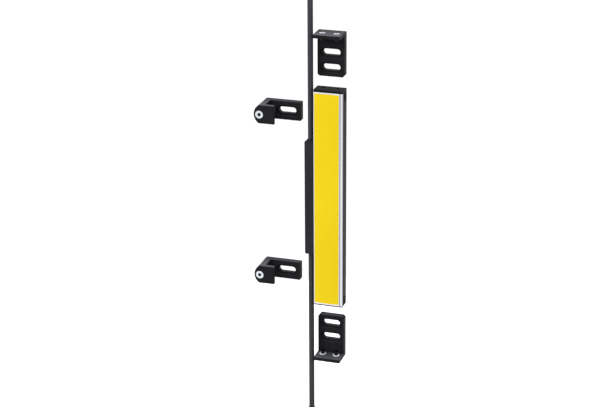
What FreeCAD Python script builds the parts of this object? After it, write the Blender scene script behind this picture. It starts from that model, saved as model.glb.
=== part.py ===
"""Safety light curtain: a slim bar with its connection block, two leads and the four brackets of its kit.

X runs across the bar, towards the narrow side that the beams leave by. Y runs from the yellow front to the
back, and Z runs up along the bar. The origin is the centre of the bar's back face. The brackets stand clear
of the bar, as in the reference picture: with the apart values at 0 each one sits in its seat.
"""
import FreeCAD, Part
import math
import os
import Sketcher
from FreeCAD import Placement, Rotation, Vector

os.makedirs("parts", exist_ok=True)
doc = FreeCAD.newDocument("light_curtain")
sizes = doc.addObject("Spreadsheet::Sheet", "sizes")

# Driving dimensions, in millimetres
DRIVING = {
    "bar_length": 240, "bar_width": 31.4, "bar_depth": 15.4, "housing_wall": 1.8, "corner_round": 1.2,
    # the bright tray behind the yellow panel, with its rims and the panel's bulge
    "tray_height": 2.0, "tray_floor": 0.7, "rim_left": 0.9, "rim_right": 4.0, "rim_end": 1.6,
    "rim_round_left": 0.5, "rim_round_right": 1.2, "panel_bulge": 1.0, "panel_gap": 0.1,
    # the dark window on the narrow side
    "window_width": 7.6, "window_ledge": 1.0, "window_thick": 0.9, "window_margin": 9.0, "window_gap": 0.1,
    # end caps, their plugs and seals
    "cap_top_thick": 2.4, "cap_bottom_thick": 1.2, "plug_length": 10.0, "plug_gap": 0.15,
    "seal_start": 4.0, "seal_width": 1.6, "seal_depth": 0.9,
    "thread_radius": 1.65, "thread_floor": 0.8, "screw_pitch": 15.0, "screw_from_back": 5.4,
    # circuit board, lenses and diodes
    "rail_height": 1.0, "rail_width": 2.0, "rail_pitch": 16.0, "board_thick": 1.6, "board_width": 24.0,
    "board_end_gap": 2.0, "lens_radius": 2.4, "lens_pitch": 15.0, "lens_base": 1.6, "lens_height": 6.0,
    "lens_window_gap": 0.4, "diode_size": 3.0, "diode_gap": 0.4,
    # connection block on the rear narrow side
    "block_width": 10.5, "block_depth": 12.0, "block_length": 126.0, "block_wall": 1.7,
    "block_bevel": 1.2, "block_round": 0.8, "gasket_thick": 0.5, "header_width": 7.0, "header_length": 22.0,
    "header_flange": 1.2, "header_gap": 0.15, "block_screw_inset": 15.0, "block_screw_radius": 1.5,
    "block_head_radius": 2.7, "block_head_height": 1.6, "post_wall": 1.5, "hole_gap": 0.1,
    # leads and their entries
    "cable_radius": 2.9, "cable_up": 156.0, "cable_down": 184.0, "collar_radius": 3.5,
    "collar_length": 0.8, "grommet_radius": 3.4, "grommet_length": 5.0,
    # round connectors with their turning nuts
    "boot_length": 24.0, "boot_tail_radius": 3.7, "boot_radius": 6.2, "neck_radius": 4.6,
    "neck_length": 7.0, "nut_radius": 7.4, "nut_length": 9.0, "nut_gap": 0.1, "nut_start_gap": 0.4,
    "socket_length": 6.0, "insert_radius": 4.1, "nut_thread_radius": 6.0, "sleeve_bore": 4.9,
    "sleeve_length": 7.0, "pin_radius": 0.5, "pin_circle": 2.6, "pin_length": 5.5, "pin_gap": 0.05,
    # end brackets
    "bracket_width": 29.0, "bracket_height": 47.5, "plate_thick": 7.0, "flange_thick": 3.6,
    "flange_overhang": 1.3, "plate_gap": 0.3, "bend_round": 1.5, "plate_bevel": 2.0,
    "slot_length": 18.6, "slot_width": 6.6, "slot_pitch": 16.0, "slot_edge": 9.4,
    "recess_margin": 2.5, "recess_depth": 2.5, "flange_head_radius": 3.4, "flange_head_height": 1.7,
    "flange_screw_radius": 2.0, "flange_screw_length": 7.5, "head_gap": 0.25,
    # side clamp brackets
    "clamp_height": 20.0, "web_thick": 6.0, "web_bulge": 5.5, "jaw_thick": 4.0, "jaw_reach": 10.2,
    "side_plate_length": 39.5, "cable_room": 8.4, "side_slot_centre": 24.2,
    "upper_clamp_from_end": 30.6, "lower_clamp_from_end": 29.1,
    "clamp_screw_centre": 0.7, "clamp_head_radius": 4.2, "clamp_head_height": 2.6,
    "clamp_head_sink": 1.6, "clamp_screw_radius": 2.5, "clamp_nut_radius": 4.6, "clamp_nut_height": 4.0,
    "clamp_round": 0.8,
    # how far each bracket stands off its seat
    "apart_top": 54.4, "apart_bottom": 62.1, "apart_across": 1.4, "apart_upper_clamp": 43.3,
    "apart_lower_clamp": 45.4,
}

# Sizes that follow from the driving ones
DERIVED = {
    "housing_length": "bar_length - cap_top_thick - cap_bottom_thick",
    "housing_foot": "cap_bottom_thick - bar_length / 2",
    "housing_depth": "bar_depth - tray_height",
    "window_centre": "housing_depth / 2",
    "thread_depth": "cap_bottom_thick + seal_start - thread_floor",
    "opening_length": "housing_length - 2 * window_margin",
    "panel_left": "rim_left + panel_gap - bar_width / 2",
    "panel_width": "bar_width - rim_left - rim_right - 2 * panel_gap",
    "panel_length": "housing_length - 2 * rim_end - 2 * panel_gap",
    "panel_thick": "tray_height - tray_floor",
    "panel_bow": "panel_width * panel_width / (8 * panel_bulge) + panel_bulge / 2",
    "channel_width": "bar_width - 2 * housing_wall",
    "channel_depth": "housing_depth - housing_wall",
    "board_face": "housing_wall + rail_height + board_thick",
    "board_length": "housing_length - 2 * plug_length - 2 * board_end_gap",
    "lens_tip": "bar_width / 2 - housing_wall - lens_window_gap",
    "block_face": "bar_width / 2 + gasket_thick",
    "block_body": "block_width - gasket_thick",
    "block_axis": "bar_width / 2 + block_width / 2",
    "block_screw_pitch": "block_length - 2 * block_screw_inset",
    "collar_top": "block_length / 2 + collar_length",
    "flange_reach": "bar_depth + flange_overhang",
    "plate_back": "plate_gap + plate_thick",
    "recess_length": "slot_length + 2 * recess_margin",
    "recess_width": "slot_width + 2 * recess_margin",
    "clamp_seat": "-(bar_width / 2 + cable_room + web_thick)",
    "jaw_inner": "bar_depth + plate_gap",
    "web_bow": "clamp_height * clamp_height / (8 * web_bulge) + web_bulge / 2",
}

for row, (alias, number) in enumerate(DRIVING.items(), start=1):
    sizes.set(f"A{row}", alias)
    sizes.set(f"B{row}", str(number))
    sizes.setAlias(f"B{row}", alias)
for row, (alias, formula) in enumerate(DERIVED.items(), start=1):
    sizes.set(f"C{row}", alias)
    sizes.set(f"D{row}", "=" + formula)
    sizes.setAlias(f"D{row}", alias)
doc.recompute()
ALIASES = sorted(list(DRIVING) + list(DERIVED), key=len, reverse=True)


def size(alias):
    """The number that a named cell holds."""
    number = sizes.get(alias)
    return float(getattr(number, "Value", number))


def linked(formula):
    """The formula with each alias written as a link to its cell."""
    words = []
    for word in formula.replace("(", " ( ").replace(")", " ) ").replace("-", " - ").split():
        words.append("sizes." + word if word in ALIASES else word)
    return " ".join(words)


def number_of(formula):
    """What a formula of aliases comes to now."""
    result = sizes.evalExpression(linked(formula))
    return float(getattr(result, "Value", result))


def bind(thing, prop, formula):
    """Ties a property to a formula of the sheet's aliases."""
    thing.setExpression(prop, linked(formula))


def place(thing, x="0", y="0", z="0", turn=None):
    """Puts a piece at a place of the sheet's making, turned if need be."""
    if turn is not None:
        thing.Placement = Placement(Vector(0, 0, 0), turn)
    for prop, formula in ((".Placement.Base.x", x), (".Placement.Base.y", y), (".Placement.Base.z", z)):
        if formula != "0":
            bind(thing, prop, formula)
    return thing


pieces = []


def keep(thing, label):
    """Names a finished piece and puts it on the list of files."""
    thing.Label = label
    pieces.append(thing)
    return thing


def new_body(label):
    return keep(doc.addObject("PartDesign::Body", label), label)


def new_sketch(body, plane, offset="0"):
    """A sketch on one of the body's own planes, moved along its normal."""
    sketch = body.newObject("Sketcher::SketchObject", body.Name + "_sketch")
    base = next(f for f in body.Origin.OriginFeatures if f.Role == plane)
    sketch.AttachmentSupport = [(base, "")]
    sketch.MapMode = "FlatFace"
    if offset != "0":
        bind(sketch, ".AttachmentOffset.Base.z", offset)
    return sketch


def pin_point(sketch, geometry, end, across, up):
    """Ties a point of the sketch to two formulas, measured from the sketch's origin."""
    for kind, formula, axis in (("DistanceX", across, -2), ("DistanceY", up, -1)):
        number = number_of(formula)
        if abs(number) < 1e-9:
            sketch.addConstraint(Sketcher.Constraint("PointOnObject", geometry, end, axis))
        elif number > 0:
            index = sketch.addConstraint(Sketcher.Constraint(kind, -1, 1, geometry, end, number))
            bind(sketch, f"Constraints[{index}]", formula)
        else:
            index = sketch.addConstraint(Sketcher.Constraint(kind, geometry, end, -1, 1, -number))
            bind(sketch, f"Constraints[{index}]", f"-1 * ( {formula} )")


def outline(sketch, corners):
    """A closed outline of straight sides through corners, each a pair of formulas."""
    points = [Vector(number_of(a), number_of(b), 0) for a, b in corners]
    first = sketch.GeometryCount
    count = len(points)
    for i in range(count):
        sketch.addGeometry(Part.LineSegment(points[i], points[(i + 1) % count]), False)
    for i in range(count):
        after = first + (i + 1) % count
        sketch.addConstraint(Sketcher.Constraint("Coincident", first + i, 2, after, 1))
        pin_point(sketch, first + i, 1, *corners[i])


def rectangle(sketch, left, low, right, high):
    outline(sketch, [(left, low), (right, low), (right, high), (left, high)])


def circle(sketch, across, up, radius):
    centre = Vector(number_of(across), number_of(up), 0)
    ring = sketch.addGeometry(Part.Circle(centre, Vector(0, 0, 1), number_of(radius)), False)
    pin_point(sketch, ring, 3, across, up)
    index = sketch.addConstraint(Sketcher.Constraint("Radius", ring, number_of(radius)))
    bind(sketch, f"Constraints[{index}]", radius)


def long_hole(sketch, across, up, length, width):
    """A slot with round ends that runs along the sketch's first axis."""
    half = number_of(f"( {length} ) / 2 - ( {width} ) / 2")
    radius = number_of(f"( {width} ) / 2")
    x, y = number_of(across), number_of(up)
    up_axis = Vector(0, 0, 1)
    left_end = Part.ArcOfCircle(Part.Circle(Vector(x - half, y, 0), up_axis, radius), math.pi / 2, 1.5 * math.pi)
    right_end = Part.ArcOfCircle(Part.Circle(Vector(x + half, y, 0), up_axis, radius), -math.pi / 2, math.pi / 2)
    left = sketch.addGeometry(left_end, False)
    right = sketch.addGeometry(right_end, False)
    low = sketch.addGeometry(Part.LineSegment(Vector(x - half, y - radius, 0), Vector(x + half, y - radius, 0)))
    high = sketch.addGeometry(Part.LineSegment(Vector(x + half, y + radius, 0), Vector(x - half, y + radius, 0)))
    for a, a_end, b, b_end in ((left, 2, low, 1), (low, 2, right, 1), (right, 2, high, 1), (high, 2, left, 1)):
        sketch.addConstraint(Sketcher.Constraint("Tangent", a, a_end, b, b_end))
    sketch.addConstraint(Sketcher.Constraint("Equal", left, right))
    pin_point(sketch, left, 3, f"{across} - ( {length} ) / 2 + ( {width} ) / 2", up)
    pin_point(sketch, right, 3, f"{across} + ( {length} ) / 2 - ( {width} ) / 2", up)
    index = sketch.addConstraint(Sketcher.Constraint("Radius", left, radius))
    bind(sketch, f"Constraints[{index}]", f"( {width} ) / 2")


def pad(body, sketch, length, backwards=False):
    feature = body.newObject("PartDesign::Pad", body.Name + "_pad")
    feature.Profile = sketch
    feature.Reversed = backwards
    bind(feature, "Length", length)
    doc.recompute()
    return feature


def pocket(body, sketch, depth=None, backwards=False):
    """Cuts a sketch out of the body, right through where no depth is given, and checks that it did."""
    before = body.Shape.Volume
    feature = body.newObject("PartDesign::Pocket", body.Name + "_pocket")
    feature.Profile = sketch
    feature.Reversed = backwards
    if depth is None:
        feature.Type = "ThroughAll"
    else:
        bind(feature, "Length", depth)
    doc.recompute()
    if not body.Shape.Volume < before:
        raise RuntimeError(f"{feature.Label} cuts nothing")
    return feature


def edges_where(body, test):
    """Names of the edges whose midpoint and direction pass a test."""
    names = []
    for index, edge in enumerate(body.Shape.Edges, start=1):
        if edge.Curve.TypeId == "Part::GeomLine":
            direction = edge.Curve.Direction
            middle = edge.valueAt((edge.FirstParameter + edge.LastParameter) / 2)
            if test(middle, direction):
                names.append(f"Edge{index}")
    return names


def dress(body, kind, amount, test):
    """A fillet or a chamfer on the straight edges that pass a test."""
    names = edges_where(body, test)
    if not names:
        raise RuntimeError(f"{body.Label} has no edge for its {kind}")
    feature = body.newObject("PartDesign::" + kind, body.Name + "_" + kind.lower())
    feature.Base = (body.Tip if body.Tip != feature else feature.BaseFeature, names)
    bind(feature, "Radius" if kind == "Fillet" else "Size", amount)
    doc.recompute()
    return feature


def near(a, b):
    return abs(a - b) < 1e-4


def part_box(label, x, y, z, length, width, height):
    """A plain block by its low corner and its three sides."""
    block = doc.addObject("Part::Box", label)
    bind(block, "Length", length)
    bind(block, "Width", width)
    bind(block, "Height", height)
    return place(block, x, y, z)


def part_cylinder(label, radius, height):
    rod = doc.addObject("Part::Cylinder", label)
    bind(rod, "Radius", radius)
    bind(rod, "Height", height)
    return rod


def part_cut(label, base, tool):
    result = doc.addObject("Part::Cut", label)
    result.Base = base
    result.Tool = tool
    return result


def turned(label, profile):
    """A piece turned about Z from an outline of radius and height."""
    body = new_body(label)
    sketch = new_sketch(body, "XZ_Plane")
    outline(sketch, profile)
    feature = body.newObject("PartDesign::Revolution", label + "_turn")
    feature.Profile = sketch
    feature.ReferenceAxis = (sketch, ["V_Axis"])
    feature.Angle = 360
    doc.recompute()
    return body


def socket_screw(name, head_radius, head_height, radius, length):
    """A screw with a six-sided socket, its head's top at the origin and its shank pointing down."""
    head = part_cylinder(name + "_head", head_radius, head_height)
    place(head, z=f"-1 * {head_height}")
    shank = part_cylinder(name + "_shank", radius, f"{length} - {head_height}")
    place(shank, z=f"-1 * ( {length} )")
    blank = doc.addObject("Part::Fuse", name + "_blank")
    blank.Base = head
    blank.Tool = shank
    socket = doc.addObject("Part::Prism", name + "_socket")
    socket.Polygon = 6
    bind(socket, "Circumradius", f"{radius} * 0.8")
    bind(socket, "Height", head_height)
    place(socket, z=f"-0.6 * {head_height}")
    return part_cut(name, blank, socket)


def group(label, members):
    """Like solids that share one file."""
    together = doc.addObject("Part::Compound", label)
    together.Links = members
    return keep(together, label)


# Housing: black extruded channel, open at the front, with two rails that carry the board
housing = new_body("housing")
section = new_sketch(housing, "XY_Plane")
rail = ["-1 * rail_pitch / 2", "rail_pitch / 2"]
inner_floor = "-1 * housing_wall"
rail_top = "-1 * ( housing_wall + rail_height )"
corners = [("-1 * bar_width / 2", "0"), ("-1 * bar_width / 2", "-1 * housing_depth")]
corners += [("-1 * channel_width / 2", "-1 * housing_depth"), ("-1 * channel_width / 2", inner_floor)]
for centre in rail:
    corners += [(f"{centre} - rail_width / 2", inner_floor), (f"{centre} - rail_width / 2", rail_top)]
    corners += [(f"{centre} + rail_width / 2", rail_top), (f"{centre} + rail_width / 2", inner_floor)]
corners += [("channel_width / 2", inner_floor), ("channel_width / 2", "-1 * housing_depth")]
corners += [("bar_width / 2", "-1 * housing_depth"), ("bar_width / 2", "0")]
outline(section, corners)
pad(housing, section, "housing_length")
half_width = size("bar_width") / 2
dress(housing, "Fillet", "corner_round",
      lambda m, d: abs(d.z) > 0.9 and near(m.y, 0) and near(abs(m.x), half_width))
window_hole = new_sketch(housing, "YZ_Plane", "bar_width / 2")
rectangle(window_hole, "-1 * window_centre - window_width / 2 + window_ledge", "window_margin + window_ledge",
          "-1 * window_centre + window_width / 2 - window_ledge",
          "housing_length - window_margin - window_ledge")
pocket(housing, window_hole, "housing_wall + 0.1")
window_seat = new_sketch(housing, "YZ_Plane", "bar_width / 2")
rectangle(window_seat, "-1 * window_centre - window_width / 2", "window_margin",
          "-1 * window_centre + window_width / 2", "housing_length - window_margin")
pocket(housing, window_seat, "window_thick")
# the rear wall lets the header through, and takes the two screws of the block
header_hole = new_sketch(housing, "YZ_Plane", "-1 * bar_width / 2")
middle = "bar_length / 2 - cap_bottom_thick"
rectangle(header_hole, "-1 * bar_depth / 2 - header_width / 2 - header_gap",
          f"{middle} - header_length / 2 - header_gap",
          "-1 * bar_depth / 2 + header_width / 2 + header_gap",
          f"{middle} + header_length / 2 + header_gap")
pocket(housing, header_hole, "housing_wall + 0.1", backwards=True)
for side in ("-", "+"):
    screw_hole = new_sketch(housing, "YZ_Plane", "-1 * bar_width / 2")
    circle(screw_hole, "-1 * bar_depth / 2", f"{middle} {side} block_screw_pitch / 2", "block_screw_radius")
    pocket(housing, screw_hole, "housing_wall + 0.1", backwards=True)
place(housing, z="housing_foot")

# Optic window: dark strip in a step of the narrow side, with a land that fills the opening
window = new_body("optic_window")
strip = new_sketch(window, "YZ_Plane", "bar_width / 2")
rectangle(strip, "-1 * window_centre - window_width / 2 + window_gap", "window_margin + window_gap",
          "-1 * window_centre + window_width / 2 - window_gap", "housing_length - window_margin - window_gap")
pad(window, strip, "window_thick", backwards=True)
land = new_sketch(window, "YZ_Plane", "bar_width / 2 - window_thick")
rectangle(land, "-1 * window_centre - window_width / 2 + window_ledge + window_gap",
          "window_margin + window_ledge + window_gap",
          "-1 * window_centre + window_width / 2 - window_ledge - window_gap",
          "housing_length - window_margin - window_ledge - window_gap")
pad(window, land, "housing_wall - window_thick", backwards=True)
place(window, z="housing_foot")

# Front tray: bright frame that closes the channel, its right rim wider than its left
tray = new_body("front_tray")
slab = new_sketch(tray, "XZ_Plane", "housing_depth")
rectangle(slab, "-1 * bar_width / 2", "0", "bar_width / 2", "housing_length")
pad(tray, slab, "tray_height")
front = -size("bar_depth")
for amount, edge in (("rim_round_left", -half_width), ("rim_round_right", half_width)):
    dress(tray, "Fillet", amount, lambda m, d: abs(d.z) > 0.9 and near(m.y, front) and near(m.x, edge))
panel_seat = new_sketch(tray, "XZ_Plane", "bar_depth")
rectangle(panel_seat, "rim_left - bar_width / 2", "rim_end", "bar_width / 2 - rim_right",
          "housing_length - rim_end")
pocket(tray, panel_seat, "tray_height - tray_floor")
place(tray, z="housing_foot")

# Front panel: yellow strip with a crowned face, cut from a block by a wide cylinder
blank = part_box("panel_blank", "panel_left", "-1 * bar_depth - panel_bulge",
                 "housing_foot + rim_end + panel_gap",
                 "panel_width", "panel_thick + panel_bulge", "panel_length")
crown = part_cylinder("panel_crown", "panel_bow", "panel_length")
place(crown, "panel_left + panel_width / 2", "panel_bow - bar_depth - panel_bulge",
      "housing_foot + rim_end + panel_gap")
panel = doc.addObject("Part::Common", "front_panel")
panel.Base = blank
panel.Tool = crown
keep(panel, "front_panel")


# End caps: a thin plate the shape of the bar's section, with a plug that carries two threaded holes
def end_cap(label, thickness):
    """A cap with its outer face at z = 0 and its plug pointing up."""
    cap = new_body(label)
    plate = new_sketch(cap, "XY_Plane")
    rectangle(plate, "-1 * bar_width / 2", "-1 * bar_depth", "bar_width / 2", "0")
    pad(cap, plate, thickness)
    dress(cap, "Fillet", "corner_round", lambda m, d: abs(d.z) > 0.9)
    across = "channel_width / 2 - plug_gap"
    back = "housing_wall + rail_height + plug_gap"
    face = "housing_depth - plug_gap"
    for sink, start, length in (("0", "0", "seal_start"),
                                ("seal_depth", "seal_start", "seal_width"),
                                ("0", "seal_start + seal_width", "plug_length - seal_start - seal_width")):
        step = new_sketch(cap, "XY_Plane", f"{thickness} + {start}")
        rectangle(step, f"-1 * ( {across} - {sink} )", f"-1 * ( {face} - {sink} )",
                  f"{across} - {sink}", f"-1 * ( {back} + {sink} )")
        pad(cap, step, length)
    # the blind threads stop short of the seal's groove
    threads = new_sketch(cap, "XY_Plane")
    for sign in ("-1 * ", ""):
        circle(threads, f"{sign}screw_pitch / 2", "-1 * screw_from_back", "thread_radius")
    pocket(cap, threads, "thread_depth", backwards=True)
    return cap


def end_seal(label):
    """A soft ring that fills the groove of a plug."""
    seal = new_body(label)
    ring = new_sketch(seal, "XY_Plane")
    across = "channel_width / 2 - plug_gap"
    back = "housing_wall + rail_height + plug_gap"
    face = "housing_depth - plug_gap"
    rectangle(ring, f"-1 * ( {across} )", f"-1 * ( {face} )", across, f"-1 * ( {back} )")
    rectangle(ring, f"-1 * ( {across} - seal_depth )", f"-1 * ( {face} - seal_depth )",
              f"{across} - seal_depth", f"-1 * ( {back} + seal_depth )")
    pad(seal, ring, "seal_width")
    return seal


# turned about X the plug points down, and its back would face the front, so the top cap turns about Y
flip = Rotation(Vector(0, 1, 0), 180)
place(end_cap("bottom_cap", "cap_bottom_thick"), z="-1 * bar_length / 2")
place(end_seal("bottom_seal"), z="housing_foot + seal_start")
place(end_cap("top_cap", "cap_top_thick"), z="bar_length / 2", turn=flip)
place(end_seal("top_seal"), z="bar_length / 2 - cap_top_thick - seal_start - seal_width")

# Circuit board on the two rails
board = part_box("circuit_board", "-1 * board_width / 2", "-1 * board_face", "-1 * board_length / 2",
                 "board_width", "board_thick", "board_length")
keep(board, "circuit_board")

# Lens strip: a clear bar with one dome for each beam, standing on the board behind the window
lenses = new_body("lens_strip")
spine = new_sketch(lenses, "YZ_Plane", "lens_tip - lens_radius")
rectangle(spine, "-1 * board_face - lens_height", "-1 * board_length / 2", "-1 * board_face",
          "board_length / 2")
pad(lenses, spine, "lens_base", backwards=True)
dome = new_sketch(lenses, "XZ_Plane", "board_face + lens_height / 2")
beam_count = max(2, int(number_of("( board_length - 2 * lens_radius ) / lens_pitch")))
low_beam = f"-1 * lens_pitch * {(beam_count - 1) / 2}"
root = "lens_tip - lens_radius"
centre = Vector(number_of(root), number_of(low_beam), 0)
bow = Part.ArcOfCircle(Part.Circle(centre, Vector(0, 0, 1), size("lens_radius")), 0, math.pi / 2)
arc = dome.addGeometry(bow, False)
tip = centre + Vector(size("lens_radius"), 0, 0)
crest = centre + Vector(0, size("lens_radius"), 0)
side_line = dome.addGeometry(Part.LineSegment(crest, centre), False)
axis_line = dome.addGeometry(Part.LineSegment(centre, tip), False)
dome.addConstraint(Sketcher.Constraint("Coincident", arc, 2, side_line, 1))
dome.addConstraint(Sketcher.Constraint("Coincident", side_line, 2, axis_line, 1))
dome.addConstraint(Sketcher.Constraint("Coincident", axis_line, 2, arc, 1))
dome.addConstraint(Sketcher.Constraint("Coincident", arc, 3, axis_line, 1))
dome.addConstraint(Sketcher.Constraint("Horizontal", axis_line))
dome.addConstraint(Sketcher.Constraint("Vertical", side_line))
pin_point(dome, arc, 3, root, low_beam)
index = dome.addConstraint(Sketcher.Constraint("Radius", arc, size("lens_radius")))
bind(dome, f"Constraints[{index}]", "lens_radius")
first_lens = lenses.newObject("PartDesign::Revolution", "first_lens")
first_lens.Profile = dome
first_lens.ReferenceAxis = (dome, [f"Edge{axis_line + 1}"])
first_lens.Angle = 360
doc.recompute()
row_of_lenses = lenses.newObject("PartDesign::LinearPattern", "row_of_lenses")
row_of_lenses.Originals = [first_lens]
z_axis = next(f for f in lenses.Origin.OriginFeatures if f.Role == "Z_Axis")
row_of_lenses.Direction = (z_axis, [""])
row_of_lenses.Occurrences = beam_count
bind(row_of_lenses, "Length", f"lens_pitch * {beam_count - 1}")
lenses.Tip = row_of_lenses
doc.recompute()

# Diodes: one behind each lens, on the board
diodes = []
for beam in range(beam_count):
    diode = part_box(f"diode_{beam + 1}", "lens_tip - lens_radius - lens_base - diode_gap - diode_size",
                     "-1 * board_face - lens_height / 2 - diode_size / 2",
                     f"lens_pitch * {beam - (beam_count - 1) / 2} - diode_size / 2",
                     "diode_size", "lens_height / 2 + diode_size / 2", "diode_size")
    diodes.append(diode)
group("diodes", diodes)

# Connection block: hollow moulding on the rear narrow side, with a post round each screw
block = new_body("connection_block")
side = new_sketch(block, "XZ_Plane", "bar_depth / 2 - block_depth / 2")
outer = "-1 * ( block_face + block_body )"
rim = "-1 * block_face"
half = "block_length / 2"
outline(side, [(rim, f"-1 * {half}"), (rim, half), (f"{outer} + block_bevel", half),
               (outer, f"{half} - block_bevel"), (outer, f"block_bevel - {half}"),
               (f"{outer} + block_bevel", f"-1 * {half}")])
pad(block, side, "block_depth")
outer_x = number_of(outer)
dress(block, "Fillet", "block_round", lambda m, d: abs(d.z) > 0.9 and near(m.x, outer_x))
cavity = new_sketch(block, "YZ_Plane", rim)
reach = "block_depth / 2 - block_wall"
tall = "block_length / 2 - grommet_length"
rectangle(cavity, f"-1 * bar_depth / 2 - ( {reach} )", f"-1 * ( {tall} )",
          f"-1 * bar_depth / 2 + {reach}", tall)
pocket(block, cavity, "block_body - block_wall")
for sign in ("-1 * ", ""):
    post = new_sketch(block, "YZ_Plane", rim)
    circle(post, "-1 * bar_depth / 2", f"{sign}block_screw_pitch / 2",
           "block_screw_radius + hole_gap + post_wall")
    pad(block, post, "block_body - block_wall + 0.5", backwards=True)
for sign in ("-1 * ", ""):
    bore = new_sketch(block, "YZ_Plane", outer)
    circle(bore, "-1 * bar_depth / 2", f"{sign}block_screw_pitch / 2", "block_screw_radius + hole_gap")
    pocket(block, bore, backwards=True)
    sink = new_sketch(block, "YZ_Plane", outer)
    circle(sink, "-1 * bar_depth / 2", f"{sign}block_screw_pitch / 2", "block_head_radius + hole_gap")
    pocket(block, sink, "block_head_height", backwards=True)
for plane_at, backwards in ((half, False), (f"-1 * {half}", True)):
    entry = new_sketch(block, "XY_Plane", plane_at)
    circle(entry, "-1 * block_axis", "-1 * bar_depth / 2", "grommet_radius")
    pocket(block, entry, "grommet_length", backwards=backwards)

# Gasket between the block's rim and the housing
gasket = new_body("block_gasket")
ring = new_sketch(gasket, "YZ_Plane", "-1 * bar_width / 2")
rectangle(ring, "-1 * bar_depth / 2 - block_depth / 2", "-1 * block_length / 2",
          "-1 * bar_depth / 2 + block_depth / 2", "block_length / 2")
rectangle(ring, f"-1 * bar_depth / 2 - ( {reach} )", f"-1 * ( {tall} )",
          f"-1 * bar_depth / 2 + {reach}", tall)
pad(gasket, ring, "gasket_thick", backwards=True)

# Contact header: it carries the leads' wires through the housing wall to the board's edge
header = new_body("contact_header")
flange = new_sketch(header, "YZ_Plane", "-1 * bar_width / 2")
rectangle(flange, "-1 * bar_depth / 2 - header_width / 2 - header_flange / 4",
          "-1 * header_length / 2 - header_flange", "-1 * bar_depth / 2 + header_width / 2 + header_flange / 4",
          "header_length / 2 + header_flange")
pad(header, flange, "header_flange", backwards=True)
core = new_sketch(header, "YZ_Plane", "-1 * bar_width / 2")
rectangle(core, "-1 * bar_depth / 2 - header_width / 2", "-1 * header_length / 2",
          "-1 * bar_depth / 2 + header_width / 2", "header_length / 2")
pad(header, core, "bar_width / 2 - board_width / 2")

# Block screws, one in each post
block_screws = []
for number, sign in enumerate(("-1 * ", ""), start=1):
    screw = socket_screw(f"block_screw_{number}", "block_head_radius", "block_head_height",
                         "block_screw_radius", "block_width + housing_wall")
    place(screw, "-1 * ( bar_width / 2 + block_width )", "-1 * bar_depth / 2",
          f"{sign}block_screw_pitch / 2", Rotation(Vector(0, 1, 0), -90))
    block_screws.append(screw)
group("block_screws", block_screws)


# Leads: a grommet in each end of the block, a straight round lead and a connector on its end
def lead(name, length, turn, sign):
    """One lead with its grommet, pointing up or, turned over, down."""
    def at(thing, height):
        return place(thing, "-1 * block_axis", "-1 * bar_depth / 2", f"{sign} * ( {height} )", turn)
    at(turned(name + "_grommet", [("0", "0"), ("grommet_radius", "0"),
                                  ("grommet_radius", "grommet_length"), ("collar_radius", "grommet_length"),
                                  ("collar_radius", "grommet_length + collar_length"),
                                  ("0", "grommet_length + collar_length")]),
       "block_length / 2 - grommet_length")
    tube = keep(part_cylinder(name + "_cable", "cable_radius", length), name + "_cable")
    at(tube, "collar_top")
    doc.recompute()
    expected = math.pi * size("cable_radius") ** 2 * size(length)
    print(f"{name} lead: {size(length):.1f} mm straight, no bend, volume {tube.Shape.Volume:.1f}"
          f" against {expected:.1f} mm3")
    at(turned(name + "_boot", [("0", "0"), ("boot_tail_radius", "0"),
                               ("boot_tail_radius + 0.8", "boot_length / 2"),
                               ("boot_radius", "boot_length / 2 + 3"), ("boot_radius", "boot_length"),
                               ("neck_radius", "boot_length"),
                               ("neck_radius", "boot_length + neck_length"),
                               ("0", "boot_length + neck_length")]),
       f"collar_top + {length}")
    return at


up = lead("upper", "cable_up", Rotation(), "1")
down = lead("lower", "cable_down", Rotation(Vector(0, 1, 0), 180), "-1")
nut_foot = "boot_length + nut_start_gap"
neck_end = "boot_length + neck_length"

# Socket end of the upper lead: a nut with an inner thread round an insert with five contacts
nut_inner = "neck_radius + nut_gap"
up(turned("upper_nut", [(nut_inner, nut_foot), ("nut_radius", nut_foot),
                        ("nut_radius", f"{nut_foot} + nut_length + socket_length"),
                        ("nut_thread_radius", f"{nut_foot} + nut_length + socket_length"),
                        ("nut_thread_radius", f"{neck_end} - 1"), (nut_inner, f"{neck_end} - 1")]),
   "collar_top + cable_up")
insert = turned("upper_insert", [("0", neck_end), ("insert_radius", neck_end),
                                 ("insert_radius", f"{neck_end} + socket_length"),
                                 ("0", f"{neck_end} + socket_length")])
contacts = new_sketch(insert, "XY_Plane", f"{neck_end} + socket_length")
for index in range(5):
    angle = index * math.pi / 2 if index < 4 else None
    reach_x = f"pin_circle * {round(math.cos(angle))}" if index < 4 else "0"
    reach_y = f"pin_circle * {round(math.sin(angle))}" if index < 4 else "0"
    circle(contacts, reach_x, reach_y, "pin_radius + pin_gap")
pocket(insert, contacts, "pin_length")
up(insert, "collar_top + cable_up")

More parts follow.
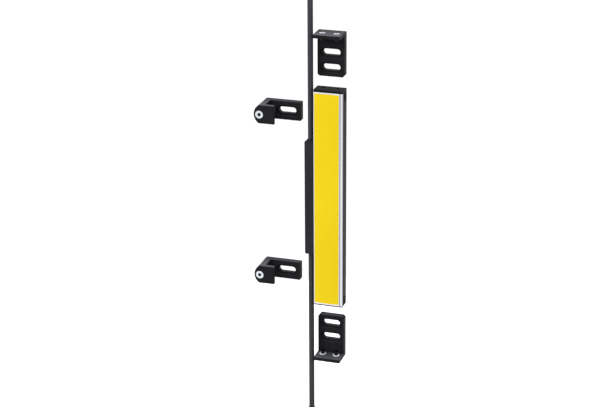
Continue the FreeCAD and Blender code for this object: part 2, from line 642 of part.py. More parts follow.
# Plug end of the lower lead: a nut with an outer thread, a short insert and five pins
down(turned("lower_nut", [(nut_inner, nut_foot), ("nut_radius", nut_foot),
                          ("nut_radius", f"{nut_foot} + nut_length"),
                          ("nut_thread_radius", f"{nut_foot} + nut_length"),
                          ("nut_thread_radius", f"{nut_foot} + nut_length + sleeve_length"),
                          ("sleeve_bore", f"{nut_foot} + nut_length + sleeve_length"),
                          ("sleeve_bore", f"{neck_end} - 1"), (nut_inner, f"{neck_end} - 1")]),
     "collar_top + cable_down")
down(turned("lower_insert", [("0", neck_end), ("insert_radius", neck_end),
                             ("insert_radius", f"{neck_end} + 2"), ("0", f"{neck_end} + 2")]),
     "collar_top + cable_down")
pins = []
for index in range(5):
    angle = index * math.pi / 2
    pin = part_cylinder(f"pin_{index + 1}", "pin_radius", "pin_length")
    reach_x = f"pin_circle * {round(math.cos(angle))}" if index < 4 else "0"
    reach_y = f"pin_circle * {round(math.sin(angle))}" if index < 4 else "0"
    place(pin, f"{reach_x} - block_axis", f"{reach_y} - bar_depth / 2",
          f"-1 * ( collar_top + cable_down + {neck_end} + 2 + pin_length )")
    pins.append(pin)
group("lower_pins", pins)


# End brackets: an L of a flange and a slotted plate, moulded in one piece
def end_bracket(label):
    """A bracket with the flange's inner face at z = 0 and its plate pointing down."""
    bracket = new_body(label)
    side_view = new_sketch(bracket, "YZ_Plane", "-1 * bracket_width / 2")
    outline(side_view, [("-1 * flange_reach", "0"), ("plate_gap", "0"),
                        ("plate_gap", "flange_thick - bracket_height"),
                        ("plate_back", "flange_thick - bracket_height"), ("plate_back", "flange_thick"),
                        ("-1 * flange_reach", "flange_thick")])
    pad(bracket, side_view, "bracket_width")
    top, back = size("flange_thick"), size("plate_back")
    foot = size("flange_thick") - size("bracket_height")
    dress(bracket, "Fillet", "bend_round", lambda m, d: abs(d.x) > 0.9 and near(m.y, back) and near(m.z, top))
    dress(bracket, "Chamfer", "plate_bevel", lambda m, d: abs(d.y) > 0.9 and near(m.z, foot))
    for long_side, short_side, depth in (("slot_length", "slot_width", None),
                                         ("recess_length", "recess_width", "recess_depth")):
        slots = new_sketch(bracket, "XZ_Plane", "-1 * plate_gap")
        for height in ("slot_edge", "slot_edge + slot_pitch"):
            long_hole(slots, "0", f"flange_thick - bracket_height + {height}", long_side, short_side)
        pocket(bracket, slots, depth)
    for radius, depth in (("flange_screw_radius + hole_gap", "flange_thick"),
                          ("flange_head_radius + head_gap", "flange_head_height + head_gap")):
        holes = new_sketch(bracket, "XY_Plane", "flange_thick")
        for sign in ("-1 * ", ""):
            circle(holes, f"{sign}screw_pitch / 2", "-1 * screw_from_back", radius)
        pocket(bracket, holes, depth)
    return bracket


def bracket_screws(label, sign, height, turn):
    """The two screws of a bracket, their heads just under the flange's outer face."""
    screws = []
    for number, side in enumerate(("-1 * ", ""), start=1):
        screw = socket_screw(f"{label}_{number}", "flange_head_radius", "flange_head_height",
                             "flange_screw_radius", "flange_screw_length")
        place(screw, f"{side}screw_pitch / 2 - apart_across", "-1 * screw_from_back",
              f"{sign} * ( {height} + flange_thick - head_gap )", turn)
        screws.append(screw)
    group(label, screws)


for end, sign, stand, turn in (("top", "1", "bar_length / 2 + apart_top", Rotation()),
                               ("bottom", "-1", "bar_length / 2 + apart_bottom", flip)):
    place(end_bracket(end + "_bracket"), "-1 * apart_across", z=f"{sign} * ( {stand} )", turn=turn)
    bracket_screws(end + "_screws", sign, stand, turn)


# Side clamps: a slotted back plate and a jaw that grips the bar's rear edge, drawn together by one screw
def round_ended(sketch, right):
    """A block outline whose left end is a shallow arc."""
    sagitta, tall_half, far = size("web_bulge"), size("clamp_height") / 2, number_of(right)
    tip = Vector(-sagitta, 0, 0)
    arc = sketch.addGeometry(Part.Arc(Vector(0, tall_half, 0), tip, Vector(0, -tall_half, 0)), False)
    low = sketch.addGeometry(Part.LineSegment(Vector(0, -tall_half, 0), Vector(far, -tall_half, 0)), False)
    end = sketch.addGeometry(Part.LineSegment(Vector(far, -tall_half, 0), Vector(far, tall_half, 0)), False)
    high = sketch.addGeometry(Part.LineSegment(Vector(far, tall_half, 0), Vector(0, tall_half, 0)), False)
    sketch.addConstraint(Sketcher.Constraint("Coincident", arc, 2, low, 1))
    sketch.addConstraint(Sketcher.Constraint("Coincident", low, 2, end, 1))
    sketch.addConstraint(Sketcher.Constraint("Coincident", end, 2, high, 1))
    sketch.addConstraint(Sketcher.Constraint("Coincident", high, 2, arc, 1))
    pin_point(sketch, low, 1, "0", "-1 * clamp_height / 2")
    pin_point(sketch, end, 1, right, "-1 * clamp_height / 2")
    pin_point(sketch, end, 2, right, "clamp_height / 2")
    pin_point(sketch, high, 2, "0", "clamp_height / 2")
    index = sketch.addConstraint(Sketcher.Constraint("Radius", arc, number_of("web_bow")))
    bind(sketch, f"Constraints[{index}]", "web_bow")


def side_clamp(name, height, apart):
    """One clamp: plate, jaw, screw and nut, at a height on the bar and a distance off its seat."""
    left = f"clamp_seat - {apart}"
    plate = new_body(name + "_plate")
    face = new_sketch(plate, "XZ_Plane", "-1 * plate_back")
    round_ended(face, "side_plate_length")
    pad(plate, face, "plate_thick")
    far = size("side_plate_length")
    dress(plate, "Fillet", "clamp_round", lambda m, d: abs(d.y) > 0.9 and near(m.x, far))
    for long_side, short_side, depth in (("slot_length", "slot_width", None),
                                         ("recess_length", "recess_width", "recess_depth")):
        slot = new_sketch(plate, "XZ_Plane", "-1 * plate_gap")
        long_hole(slot, "side_slot_centre", "0", long_side, short_side)
        pocket(plate, slot, depth)
    bore = new_sketch(plate, "XZ_Plane", "-1 * plate_gap")
    circle(bore, "clamp_screw_centre", "0", "clamp_screw_radius + hole_gap")
    pocket(plate, bore)
    nut_seat = new_sketch(plate, "XZ_Plane", "-1 * plate_back")
    circle(nut_seat, "clamp_screw_centre", "0", "clamp_nut_radius + hole_gap")
    pocket(plate, nut_seat, "clamp_nut_height", backwards=True)
    place(plate, left, z=height)

    jaw = new_body(name + "_jaw")
    front_view = new_sketch(jaw, "XZ_Plane", "-1 * plate_gap")
    round_ended(front_view, "web_thick + jaw_reach")
    pad(jaw, front_view, "plate_gap + jaw_inner + jaw_thick")
    mouth = new_sketch(jaw, "XY_Plane", "-1 * clamp_height / 2")
    rectangle(mouth, "web_thick", "-1 * jaw_inner", "web_thick + jaw_reach + 1", "plate_gap + 1")
    pocket(jaw, mouth, "clamp_height", backwards=True)
    front_y = -number_of("jaw_inner + jaw_thick")
    tall = size("clamp_height") / 2
    dress(jaw, "Fillet", "clamp_round",
          lambda m, d: near(m.y, front_y) and (abs(d.x) > 0.9 or abs(d.z) > 0.9))
    hole = new_sketch(jaw, "XZ_Plane", "jaw_inner + jaw_thick")
    circle(hole, "clamp_screw_centre", "0", "clamp_screw_radius + hole_gap")
    pocket(jaw, hole)
    sink = new_sketch(jaw, "XZ_Plane", "jaw_inner + jaw_thick")
    circle(sink, "clamp_screw_centre", "0", "clamp_head_radius + hole_gap")
    pocket(jaw, sink, "clamp_head_sink")
    place(jaw, left, z=height)

    proud = "clamp_head_height - clamp_head_sink"
    screw = socket_screw(name + "_screw", "clamp_head_radius", "clamp_head_height", "clamp_screw_radius",
                         f"jaw_inner + jaw_thick + plate_back + {proud}")
    place(screw, f"{left} + clamp_screw_centre", f"-1 * ( jaw_inner + jaw_thick + {proud} )", height,
          Rotation(Vector(1, 0, 0), 90))
    keep(screw, name + "_screw")
    ring = doc.addObject("Part::Prism", name + "_nut_blank")
    ring.Polygon = 6
    bind(ring, "Circumradius", "clamp_nut_radius")
    bind(ring, "Height", "clamp_nut_height")
    nut_bore = part_cylinder(name + "_nut_bore", "clamp_screw_radius", "clamp_nut_height")
    nut = keep(part_cut(name + "_nut", ring, nut_bore), name + "_nut")
    place(nut, f"{left} + clamp_screw_centre", "plate_back", height, Rotation(Vector(1, 0, 0), 90))


side_clamp("upper_clamp", "bar_length / 2 - upper_clamp_from_end", "apart_upper_clamp")
side_clamp("lower_clamp", "lower_clamp_from_end - bar_length / 2", "apart_lower_clamp")

doc.recompute()
failed = [thing.Label for thing in doc.Objects if {"Invalid", "Error"} & set(thing.State)]
failed += [thing.Label for thing in pieces if thing.Shape.isNull() or not thing.Shape.isValid()]
if failed:
    raise RuntimeError("failed: " + ", ".join(failed))
for piece in pieces:
    piece.Shape.exportStep(f"parts/{piece.Label}.step")
print(len(pieces), "pieces written")
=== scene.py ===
import math
import bmesh
import bpy
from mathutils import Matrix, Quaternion, Vector


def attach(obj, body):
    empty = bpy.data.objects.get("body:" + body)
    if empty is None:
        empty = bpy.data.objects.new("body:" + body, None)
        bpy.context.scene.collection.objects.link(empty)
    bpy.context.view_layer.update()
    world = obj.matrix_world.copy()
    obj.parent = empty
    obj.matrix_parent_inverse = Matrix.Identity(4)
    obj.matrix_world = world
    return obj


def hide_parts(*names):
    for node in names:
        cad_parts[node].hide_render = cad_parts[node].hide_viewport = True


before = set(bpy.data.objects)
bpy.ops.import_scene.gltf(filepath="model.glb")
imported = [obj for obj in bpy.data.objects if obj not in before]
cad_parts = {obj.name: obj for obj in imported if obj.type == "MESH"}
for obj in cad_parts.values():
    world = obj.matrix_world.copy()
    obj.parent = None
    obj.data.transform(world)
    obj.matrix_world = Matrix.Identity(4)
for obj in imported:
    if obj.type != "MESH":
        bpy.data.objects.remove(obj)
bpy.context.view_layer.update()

MM = 0.001


# The studio: a white floor a metre below the bar's middle, soft lamps, and the camera in front of the yellow
# face, turned a little to the window's side and looking down on it. Its place was fitted to the photograph.
aim = Vector((-30.6, -15.4, -6.17)) * MM
turn, tilt, distance = math.radians(18.05), math.radians(21.16), 1.8025
roll = math.radians(-0.396)
camera = bpy.data.objects.new("camera", bpy.data.cameras.new("camera"))
bpy.context.scene.collection.objects.link(camera)
camera.location = aim + distance * Vector((math.sin(turn) * math.cos(tilt),
                                           -math.cos(turn) * math.cos(tilt), math.sin(tilt)))
level = (aim - camera.location).to_track_quat("-Z", "Y")
camera.rotation_euler = (level @ Quaternion((0, 0, 1), roll)).to_euler()
camera.data.sensor_width = 36.0
camera.data.lens = 103.2
camera.data.clip_end = 60.0
bpy.context.scene.camera = camera
bpy.context.scene.view_settings.view_transform = "Standard"


class Line:
    """One output socket in a shader tree. Sums on it add Math nodes, and node() adds any other kind."""

    def __init__(self, tree, socket):
        self.tree = tree
        self.socket = socket

    def node(self, kind, settings, values, out=0):
        made = self.tree.nodes.new(kind)
        for name, setting in settings.items():
            setattr(made, name, setting)
        for name, value in values.items():
            if isinstance(value, Line):
                self.tree.links.new(value.socket, made.inputs[name])
            else:
                made.inputs[name].default_value = value
        return Line(self.tree, made.outputs[out] if made.outputs else None)

    def sum(self, operation, first, second):
        return self.node("ShaderNodeMath", {"operation": operation}, {0: first, 1: second})

    def __add__(self, other):
        return self.sum("ADD", self, other)

    def __sub__(self, other):
        return self.sum("SUBTRACT", self, other)

    def __rsub__(self, other):
        return self.sum("SUBTRACT", other, self)

    def __mul__(self, other):
        return self.sum("MULTIPLY", self, other)

    def __truediv__(self, other):
        return self.sum("DIVIDE", self, other)

    def held(self):
        """The value kept between 0 and 1."""
        return self.node("ShaderNodeClamp", {}, {"Value": self})

    def within(self, low, high):
        """0 at low, 1 at high, straight between them and flat outside."""
        return self.node("ShaderNodeMapRange", {}, {"Value": self, "From Min": low, "From Max": high})

    def colours(self, low, high):
        """From one colour to another as the value goes from 0 to 1."""
        return self.mix((*low, 1), (*high, 1))

    def mix(self, low, high):
        """The same from one socket or four-part colour to another."""
        return self.node("ShaderNodeMix", {"data_type": "RGBA"}, {0: self, 6: low, 7: high}, 2)


def ink(red, green, blue):
    """A colour read off the screen in steps of 255, as light."""
    return tuple(((c / 255 + 0.055) / 1.055) ** 2.4 if c > 10 else c / 255 / 12.92 for c in (red, green, blue))


def seen_directly(tree):
    """1 for rays from the camera, a reflection or through clear plastic, 0 for the light that falls on things."""
    ways = tree.nodes.new("ShaderNodeLightPath")
    camera_ray, glossy_ray, clear_ray = (
        Line(tree, ways.outputs[name]) for name in ("Is Camera Ray", "Is Glossy Ray", "Is Transmission Ray"))
    return (camera_ray + glossy_ray + clear_ray).held()


floor_glow, floor_shade = 0.71, 0.55
floor_paint = bpy.data.materials.new("floor_paint")
floor_paint.use_nodes = True
floor_paint.node_tree.nodes.clear()
seen = seen_directly(floor_paint.node_tree)
glow = seen.node("ShaderNodeEmission", {}, {"Color": (1, 1, 1, 1), "Strength": seen * floor_glow})
chalk = seen.node("ShaderNodeBsdfDiffuse", {}, {"Color": (floor_shade, floor_shade, floor_shade, 1)})
both = seen.node("ShaderNodeAddShader", {}, {0: glow, 1: chalk})
seen.node("ShaderNodeOutputMaterial", {}, {"Surface": both})
floor_mesh = bpy.data.meshes.new("floor")
reach, depth = 30, -1.0
floor_mesh.from_pydata([(x, y, depth) for x, y in ((-reach, -reach), (reach, -reach), (reach, reach), (-reach, reach))],
                       [], [(0, 1, 2, 3)])
floor = bpy.data.objects.new("floor", floor_mesh)
floor_mesh.materials.append(floor_paint)
bpy.context.scene.collection.objects.link(floor)

sky = bpy.data.worlds.new("sky")
sky.use_nodes = True
bpy.context.scene.world = sky
sky.node_tree.nodes.clear()
seen = seen_directly(sky.node_tree)
sky_light = 0.55
air = seen.node("ShaderNodeBackground", {}, {"Color": (1, 1, 1, 1), "Strength": seen * (1 - sky_light) + sky_light})
seen.node("ShaderNodeOutputWorld", {}, {"Surface": air})

for name, place, width, power in (
        ("lamp_left", (-1.3, -1.6, 1.5), 1.1, 34),
        ("lamp_right", (1.7, -1.4, 0.8), 0.9, 10),
        ("lamp_above", (0.2, 0.6, 1.9), 1.2, 15),
        ("lamp_behind", (-1.0, 1.9, -0.45), 1.2, 13)):
    lamp = bpy.data.objects.new(name, bpy.data.lights.new(name, "AREA"))
    lamp.data.size = width
    lamp.data.energy = power
    lamp.location = place
    lamp.rotation_euler = (Vector((0, 0, 0)) - lamp.location).to_track_quat("-Z", "Y").to_euler()
    bpy.context.scene.collection.objects.link(lamp)


# The housing: an aluminium extrusion with a dull black coat, over the faint die lines that run along it.
# The caps close its two ends, and the optics and the board slide in from there.
def finish(name, slot_colour, roughness, **fixed):
    """A new material, its shader, and the place on the object in metres."""
    made = bpy.data.materials.new(name)
    made.use_nodes = True
    shader = made.node_tree.nodes["Principled BSDF"]
    shader.inputs["Base Color"].default_value = (*slot_colour, 1)
    shader.inputs["Roughness"].default_value = roughness
    for word, value in fixed.items():
        shader.inputs[word.replace("_", " ")].default_value = value
    where = made.node_tree.nodes.new("ShaderNodeTexCoord")
    return made, shader, Line(made.node_tree, where.outputs["Object"])


def grain(where, scale, stretch=(1, 1, 1), detail=3.0):
    """Fine noise over the surface, drawn out along an axis where its stretch is small."""
    spread = where.node("ShaderNodeMapping", {}, {"Vector": where, "Scale": stretch})
    return where.node("ShaderNodeTexNoise", {}, {"Vector": spread, "Scale": scale, "Detail": detail})


def raise_by(shader, height, depth, strength):
    """Lets a height from 0 to 1, times a depth in metres, tilt the surface's shading."""
    bump = height.node("ShaderNodeBump", {}, {"Height": height, "Distance": depth, "Strength": strength})
    height.tree.links.new(bump.socket, shader.inputs["Normal"])


def into(value, shader, socket):
    """Feeds a value to one of the shader's inputs."""
    value.tree.links.new(value.socket, shader.inputs[socket])


def part_of(where, axis):
    """One coordinate of a place."""
    return where.node("ShaderNodeSeparateXYZ", {}, {"Vector": where}, "XYZ".index(axis))


def dress(nodes, material, edge=0.0):
    """Gives CAD nodes their material, and their edges a small round, its size in millimetres."""
    for node in nodes:
        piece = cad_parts[node]
        for slot in piece.material_slots:
            slot.material = material
        if edge:
            soft = piece.modifiers.new("edge_round", "BEVEL")
            soft.width = edge * MM
            soft.segments = 2
            soft.limit_method = "ANGLE"
            soft.angle_limit = math.radians(35)
            soft.harden_normals = True


coat, shader, where = finish("black_coat", ink(26, 27, 30), 0.55, Specular_IOR_Level=0.012)
die_lines = grain(where, 900, (1, 1, 0.012))
mottle = grain(where, 140)
into((mottle * 0.5 + die_lines * 0.5).colours(ink(20, 21, 24), ink(32, 33, 36)), shader, "Base Color")
into(die_lines * 0.16 + 0.47, shader, "Roughness")
raise_by(shader, die_lines, 0.00004, 0.5)
dress(["housing"], coat, 0.2)


# The optic window: a strip of near black plastic that lets infrared through, polished and set flush
# in the narrow side. The clear lens strip, the diodes and the bare board stand behind it.
pane, shader, where = finish("window_plastic", ink(14, 12, 15), 0.24, Specular_IOR_Level=0.015)
into(grain(where, 60).colours(ink(12, 10, 13), ink(21, 17, 22)), shader, "Base Color")
into(grain(where, 220, (1, 1, 0.2)) * 0.1 + 0.16, shader, "Roughness")
dress(["optic_window"], pane, 0.15)

lens_plastic, shader, where = finish("lens_plastic", ink(196, 200, 205), 0.1, Transmission_Weight=0.6, IOR=1.49)
into(grain(where, 90).colours(ink(186, 190, 196), ink(206, 209, 213)), shader, "Base Color")
dress(["lens_strip"], lens_plastic)
tint, shader, where = finish("diode_tint", ink(44, 28, 48), 0.2)
into(grain(where, 300).colours(ink(36, 22, 40), ink(54, 36, 60)), shader, "Base Color")
dress(["diodes"], tint, 0.15)
laminate, shader, where = finish("board_laminate", ink(22, 92, 58), 0.35)
weave = grain(where, 1500) * 0.5 + grain(where, 200) * 0.5
into(weave.colours(ink(18, 78, 48), ink(30, 108, 70)), shader, "Base Color")
raise_by(shader, weave, 0.00003, 0.4)
dress(["circuit_board"], laminate)


# The front tray: bright drawn aluminium that frames the yellow panel, brushed along its length. Its wide
# rim has two raised lands with a narrow groove between them; the groove and the rolled outer edge carry painted shade,
# greyer than the lands.
def as_piece(name, mesh, material):
    """A piece of the object from a mesh, with its outward sides worked out."""
    shape = bmesh.new()
    shape.from_mesh(mesh)
    bmesh.ops.recalc_face_normals(shape, faces=shape.faces)
    shape.to_mesh(mesh)
    shape.free()
    mesh.materials.append(material)
    piece = bpy.data.objects.new(name, mesh)
    bpy.context.scene.collection.objects.link(piece)
    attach(piece, "root")


def lands(name, spans, seat, front, low, high, chamfer, material):
    """Long raised strips on an upright face, one for each span across, with chamfered front edges."""
    points, faces = [], []
    for left, right in spans:
        outline = [(left, seat), (left, front + chamfer), (left + chamfer, front),
                   (right - chamfer, front), (right, front + chamfer), (right, seat)]
        first, sides = len(points), len(outline)
        points.extend((x * MM, y * MM, z * MM) for z in (low, high) for x, y in outline)
        faces.append([first + side for side in range(sides)])
        faces.append([first + sides + side for side in range(sides)])
        faces.extend((first + side, first + (side + 1) % sides, first + sides + (side + 1) % sides,
                      first + sides + side) for side in range(sides))
    mesh = bpy.data.meshes.new(name)
    mesh.from_pydata(points, [], faces)
    as_piece(name, mesh, material)


bright, shader, where = finish("bright_metal", ink(226, 227, 231), 0.24, Metallic=1.0)
brush = grain(where, 1400, (1, 1, 0.008), 4.0)
smudge = grain(where, 35, (1, 1, 0.4))
across = part_of(where, "X")
groove_x, groove_half, rolled_from, rolled_to = 12.95 * MM, 0.6 * MM, 14.9 * MM, 15.6 * MM
# Painted shade: the groove between the lands and the rolled outer edge are mixed towards a darker grey.
from_middle = (across - groove_x) / groove_half
groove_painted_shade = (1 - from_middle * from_middle).held()
rolled_edge_painted_shade = across.within(rolled_from, rolled_to)
tone = (brush * 0.5 + smudge * 0.5).colours(ink(212, 213, 218), ink(240, 240, 243))
tone_with_painted_shade = (groove_painted_shade * 1.6 + rolled_edge_painted_shade * 0.7).held().mix(tone, (*ink(118, 119, 129), 1))
into(tone_with_painted_shade, shader, "Base Color")
into(brush * 0.18 + 0.16, shader, "Roughness")
raise_by(shader, brush, 0.00002, 0.6)
dress(["front_tray"], bright, 0.15)
inner_land, outer_land = (11.75, 12.35), (13.55, 14.45)
rim_seat, rim_front, rim_low, rim_high, rim_chamfer = -15.35, -15.65, -118.4, 117.2, 0.1
lands("rim_lands", [inner_land, outer_land], rim_seat, rim_front, rim_low, rim_high, rim_chamfer, bright)


# The front panel: a crowned strip of safety yellow plastic, moulded smooth with a soft gloss, and bare.
# It lies in the tray.
yellow, shader, where = finish("safety_yellow", ink(250, 219, 20), 0.5, Specular_IOR_Level=0.2)
cloud = grain(where, 28, (1, 1, 0.5))
peel = grain(where, 900)
into(cloud.within(0.3, 0.7).colours(ink(249, 216, 12), ink(253, 223, 20)), shader, "Base Color")
into(cloud * 0.1 + peel * 0.06 + 0.42, shader, "Roughness")
raise_by(shader, peel, 0.00003, 0.35)
dress(["front_panel"], yellow, 0.15)


# The end caps, the connection block and the contact header: black moulded plastic with a fine spark eroded
# grain. The caps close the housing's ends, and two screws hold the block to its side.
def moulded(name, low, high, rough, specular=0.06, top_sheen_colour=None):
    """Grained plastic. Where a sheen colour is given, what faces up turns to that colour as a painted sheen, most at
    the front.
    """
    made, shader, where = finish(name, low, rough, Specular_IOR_Level=specular)
    pits = grain(where, 2200, detail=2.0)
    rub = grain(where, 70)
    colour = (pits * 0.4 + rub * 0.6).within(0.25, 0.75).colours(low, high)
    if top_sheen_colour:
        # Painted sheen: upward faces are lightened towards a lighter colour, most towards the front.
        faces = made.node_tree.nodes.new("ShaderNodeTexCoord")
        up = part_of(Line(made.node_tree, faces.outputs["Normal"]), "Z").within(0.7, 0.95)
        back_y, front_y = 4 * MM, -15 * MM
        front = part_of(where, "Y").within(back_y, front_y)
        colour = (up * (front * 0.75 + 0.25)).mix(colour, (*top_sheen_colour, 1))
    into(colour, shader, "Base Color")
    into(pits * 0.2 + rub * 0.12 + (rough - 0.16), shader, "Roughness")
    raise_by(shader, pits, 0.00006, 0.5)
    return made


cap_plastic = moulded("cap_plastic", ink(14, 14, 17), ink(24, 24, 28), 0.52)
dress(["top_cap", "bottom_cap"], cap_plastic, 0.3)
block_plastic = moulded("block_plastic", ink(39, 39, 42), ink(51, 51, 55), 0.55)
dress(["connection_block"], block_plastic, 0.3)
insert_plastic = moulded("insert_plastic", ink(26, 26, 28), ink(36, 36, 39), 0.42)
dress(["contact_header"], insert_plastic, 0.1)


# Seals, gasket and grommets: soft black rubber, moulded to shape. The seals lie round the caps' plugs, the
# gasket between the connection block and the housing, and the grommets round the two leads.
rubber, shader, where = finish("seal_rubber", ink(34, 34, 36), 0.72, Specular_IOR_Level=0.3)
dust = grain(where, 500)
into(dust.colours(ink(28, 28, 30), ink(44, 44, 46)), shader, "Base Color")
into(dust * 0.15 + 0.62, shader, "Roughness")
raise_by(shader, dust, 0.00008, 0.4)
dress(["top_seal", "bottom_seal", "block_gasket", "upper_grommet", "lower_grommet"], rubber, 0.15)


# Screws and nuts: plated steel, turned. The end screws have bright heads, and painted shade darkens their threads past
# the flange. The clamp screws are a bluish zinc, with painted shade nearly black inside their sockets.
def plated(name, dull, clean, painted_shade=None):
    """A plated metal. The last argument, given the place, is 1 where painted shade darkens it, and 0 where it is left
    bright.
    """
    made, shader, where = finish(name, clean, 0.26, Metallic=1.0)
    turned = grain(where, 700)
    colour = turned.within(0.2, 0.8).colours(dull, clean)
    if painted_shade:
        # Painted shade: the masked places are mixed towards near black.
        colour = painted_shade(where).mix(colour, (*ink(38, 39, 42), 1))
    into(colour, shader, "Base Color")
    into(turned * 0.2 + 0.18, shader, "Roughness")
    raise_by(shader, turned, 0.00006, 0.4)
    return made


# The end screws' threads past each flange face are darkened with painted shade.
top_flange_face, bottom_flange_face, shade_edge = 174.4, -182.1, 0.5
steel_dull, steel_clean = ink(196, 200, 206), ink(236, 238, 242)
top_steel = plated("top_screw_steel", steel_dull, steel_clean, lambda where: (
    1 - part_of(where, "Z").within(top_flange_face * MM, (top_flange_face + shade_edge) * MM)))
dress(["top_screws"], top_steel, 0.2)
bottom_steel = plated("bottom_screw_steel", steel_dull, steel_clean, lambda where: (
    part_of(where, "Z").within((bottom_flange_face - shade_edge) * MM, bottom_flange_face * MM)))
dress(["bottom_screws"], bottom_steel, 0.2)
zinc = plated("zinc_plate", ink(150, 154, 160), ink(192, 196, 202))
dress(["block_screws", "upper_clamp_nut", "lower_clamp_nut"], zinc, 0.2)
head_face, socket_floor = -20.7, -19.14
# Painted shade: the clamp screws turn nearly black inside their sockets, deeper than the head's face.
blued = plated("blue_zinc", ink(196, 203, 214), ink(234, 239, 245), lambda where: (
    part_of(where, "Y").within((head_face + shade_edge) * MM, socket_floor * MM)))
dress(["upper_clamp_screw", "lower_clamp_screw"], blued, 0.2)


# Threads: a right-handed ridge rolled round each end screw, with a pitch of 0.7 mm, and further down
# round the plug's nose.
def ridge_round(name, x, y, start, way, centre, height, pitch, turns, material):
    """A ridge that winds round an upright axis from start, up where way is 1 and down where it is -1.

    It is a round bead of radius height, whose middle runs at the distance centre from the axis.
    """
    ridge = bpy.data.curves.new(name, "CURVE")
    ridge.dimensions = "3D"
    ridge.bevel_depth = height * MM
    ridge.bevel_resolution = 1
    ridge.use_fill_caps = True
    steps_round = 24
    winding = ridge.splines.new("POLY")
    winding.points.add(int(steps_round * turns))
    for step, point in enumerate(winding.points):
        angle = way * 2 * math.pi * step / steps_round
        point.co = ((x + centre * math.cos(angle)) * MM, (y + centre * math.sin(angle)) * MM,
                    (start + way * pitch * step / steps_round) * MM, 1)
    former = bpy.data.objects.new(name + "_former", ridge)
    as_piece(name, bpy.data.meshes.new_from_object(former), material)
    bpy.data.objects.remove(former)


screw_places = {"left": (-8.9, -5.4), "right": (6.1, -5.4)}
thread_start_gap, thread_centre, thread_height, thread_pitch, thread_turns = 1.0, 1.97, 0.15, 0.7, 4.1
for side, (x, y) in screw_places.items():
    for end, face, way, steel in (
            ("top", top_flange_face, -1, top_steel),
            ("bottom", bottom_flange_face, 1, bottom_steel)):
        ridge_round(f"{end}_thread_{side}", x, y, face + way * thread_start_gap, way, thread_centre, thread_height,
                    thread_pitch, thread_turns, steel)


# Retaining washers: thin milky polyamide rings pushed over the end screws, against the inner face of each
# flange, so that the screws stay with their bracket until it is fitted.
def solid_from(name, rounds, material):
    """A piece of one or more closed bodies. Each is a loop of closed lines with as many points each."""
    points, faces = [], []
    for loop in rounds:
        first, steps = len(points), len(loop[0])
        for line in loop:
            points.extend((x * MM, y * MM, z * MM) for x, y, z in line)
        for band in range(len(loop)):
            beside = (band + 1) % len(loop)
            for step in range(steps):
                after = (step + 1) % steps
                faces.append((first + band * steps + step, first + band * steps + after,
                              first + beside * steps + after, first + beside * steps + step))
    mesh = bpy.data.meshes.new(name)
    mesh.from_pydata(points, [], faces)
    as_piece(name, mesh, material)


def around(x, y, z, radii):
    """Points on a level round line, one for each radius."""
    return [(x + radius * math.cos(2 * math.pi * step / len(radii)),
             y + radius * math.sin(2 * math.pi * step / len(radii)), z) for step, radius in enumerate(radii)]


def ring(x, y, z, thick, inner, outer, bevel):
    """The lines of a ring with a chamfered outer edge, from z to z + thick."""
    rise, steps = math.copysign(bevel, thick), 48
    return [around(x, y, z + height, [radius] * steps) for radius, height in (
        (inner, 0), (outer - bevel, 0), (outer, rise), (outer, thick - rise), (outer - bevel, thick), (inner, thick))]


milky, shader, where = finish("washer_polyamide", ink(232, 232, 228), 0.45, Subsurface_Weight=0.15)
haze = grain(where, 600)
into(haze.colours(ink(222, 222, 216), ink(244, 244, 242)), shader, "Base Color")
into(haze * 0.15 + 0.36, shader, "Roughness")
washer_thick, washer_bore, washer_edge, washer_bevel = 0.8, 2.25, 3.8, 0.15
for end, face, way in (("top", top_flange_face, -1), ("bottom", bottom_flange_face, 1)):
    solid_from(end + "_washers", [ring(x, y, face, way * washer_thick, washer_bore, washer_edge, washer_bevel)
                                  for x, y in screw_places.values()], milky)


# The leads: black polyurethane extruded over five cores, round and smooth. Each runs straight out of the
# block through its grommet, held taut, to a connector.
sheath, shader, where = finish("cable_sheath", ink(62, 62, 66), 0.5, Specular_IOR_Level=0.08)
scuff = grain(where, 260, (1, 1, 0.08))
into(scuff.within(0.3, 0.7).colours(ink(56, 56, 60), ink(72, 72, 77)), shader, "Base Color")
into(scuff * 0.2 + 0.4, shader, "Roughness")
raise_by(shader, scuff, 0.00006, 0.4)
cable_x, cable_y, cable_radius = -20.95, -7.7, 2.9
for name, start, end, pieces in (
        ("upper", 63.8, 219.8, ["upper_boot", "upper_nut", "upper_insert"]),
        ("lower", -63.8, -247.8, ["lower_boot", "lower_nut", "lower_insert", "lower_pins"])):
    run = bpy.data.curves.new(name + "_lead", "CURVE")
    run.dimensions = "3D"
    run.bevel_depth = cable_radius * MM
    run.bevel_resolution = 8
    run.use_fill_caps = True
    line = run.splines.new("NURBS")
    line.points.add(3)
    for step, point in enumerate(line.points):
        point.co = (cable_x * MM, cable_y * MM, (start + (end - start) * step / 3) * MM, 1)
    line.order_u = 3
    line.use_endpoint_u = True
    run.materials.append(sheath)
    lead = bpy.data.objects.new(name + "_lead", run)
    bpy.context.scene.collection.objects.link(lead)
    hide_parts(name + "_cable")
    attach(lead, "root")
    abs(end - start) * MM


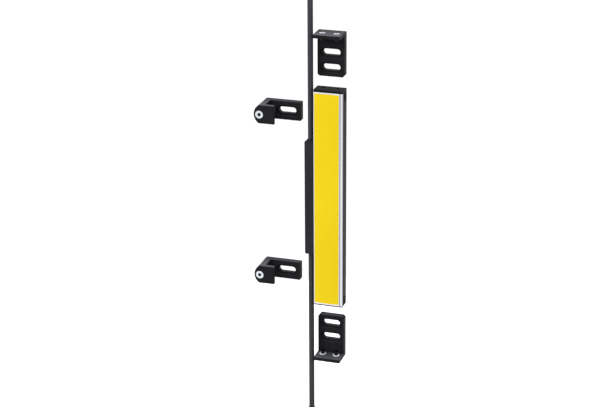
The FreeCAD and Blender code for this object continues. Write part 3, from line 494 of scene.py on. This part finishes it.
# The connectors: overmoulded boots, nickel plated brass turning nuts, black inserts and gold contacts.
# The nuts turn on the boots' necks, round the inserts that stand at the necks' ends.
boot_paint, shader, where = finish("boot_moulding", ink(40, 40, 43), 0.55)
satin = grain(where, 900)
into(satin.colours(ink(34, 34, 37), ink(50, 50, 54)), shader, "Base Color")
into(satin * 0.2 + 0.45, shader, "Roughness")
raise_by(shader, satin, 0.00006, 0.5)
dress(["upper_boot", "lower_boot"], boot_paint, 0.4)
nickel, shader, where = finish("nickel_plate", ink(205, 200, 190), 0.16, Metallic=1.0)
worn = grain(where, 1600)
into(worn.within(0.3, 0.7).colours(ink(158, 155, 148), ink(186, 183, 176)), shader, "Base Color")
into(worn * 0.18 + 0.14, shader, "Roughness")
dress(["upper_nut", "lower_nut"], nickel, 0.25)
dress(["upper_insert", "lower_insert"], insert_plastic, 0.15)
gold, shader, where = finish("contact_gold", ink(226, 186, 104), 0.2, Metallic=1.0)
into(grain(where, 900).colours(ink(214, 172, 90), ink(238, 200, 122)), shader, "Base Color")
dress(["lower_pins"], gold)


# Knurls and grip ribs: rolled into the turning nuts and moulded on the boots, with four rings that let
# the boot's tail bend. They stand a third of a millimetre proud, so that fingers turn the nut.
def toothed(x, y, start, end, radius, proud, teeth):
    """The lines of a band with teeth, buried a little in what it lies on, and sloped at both ends."""
    buried, slope_long = 0.2, 0.4
    cut = [radius, radius + proud, radius + proud, radius] * teeth
    plain = [radius - buried] * len(cut)
    slope = math.copysign(slope_long, end - start)
    return [around(x, y, start, plain), around(x, y, start, [radius] * len(cut)), around(x, y, start + slope, cut),
            around(x, y, end - slope, cut), around(x, y, end, [radius] * len(cut)), around(x, y, end, plain)]


nut_radius, knurl_start, knurl_proud, knurl_teeth = 7.4, 26.4, 0.32, 44
boot_radius, grip_start, grip_end, grip_proud, grip_teeth = 6.2, 16.4, 22.8, 0.34, 16
tail_rings, tail_ring_long, tail_bore, tail_bevel = (1.8, 4.2, 6.6, 9.0), 1.3, 3.4, 0.25
tail_ring_edge, tail_widening = 4.15, 1 / 15
for name, foot, way, knurl_end in (("upper", 219.8, 1, 36.4), ("lower", -247.8, -1, 32.0)):
    knurl = toothed(cable_x, cable_y, foot + way * knurl_start, foot + way * knurl_end, nut_radius, knurl_proud,
                    knurl_teeth)
    solid_from(name + "_nut_knurl", [knurl], nickel)
    grip = toothed(cable_x, cable_y, foot + way * grip_start, foot + way * grip_end, boot_radius, grip_proud,
                   grip_teeth)
    solid_from(name + "_boot_grip", [grip], boot_paint)
    solid_from(name + "_boot_rings", [ring(cable_x, cable_y, foot + way * up, way * tail_ring_long, tail_bore,
                                           tail_ring_edge + up * tail_widening, tail_bevel)
                                      for up in tail_rings], boot_paint)
plug_thread_top, plug_thread_centre, plug_thread_height, plug_pitch, plug_turns = -282.0, 5.92, 0.27, 1.0, 5.5
ridge_round("plug_thread", cable_x, cable_y, plug_thread_top, -1, plug_thread_centre, plug_thread_height, plug_pitch,
            plug_turns, nickel)


# The brackets and clamps: glass filled black plastic, each piece moulded whole, with a painted sheen lightening what
# faces up.
bracket_plastic = moulded("bracket_plastic", ink(28, 28, 31), ink(41, 41, 45), 0.46, 0.03, ink(88, 88, 96))
dress(["top_bracket", "bottom_bracket"], bracket_plastic, 0.35)
dress(["upper_clamp_plate", "lower_clamp_plate", "upper_clamp_jaw", "lower_clamp_jaw"], bracket_plastic, 0.4)
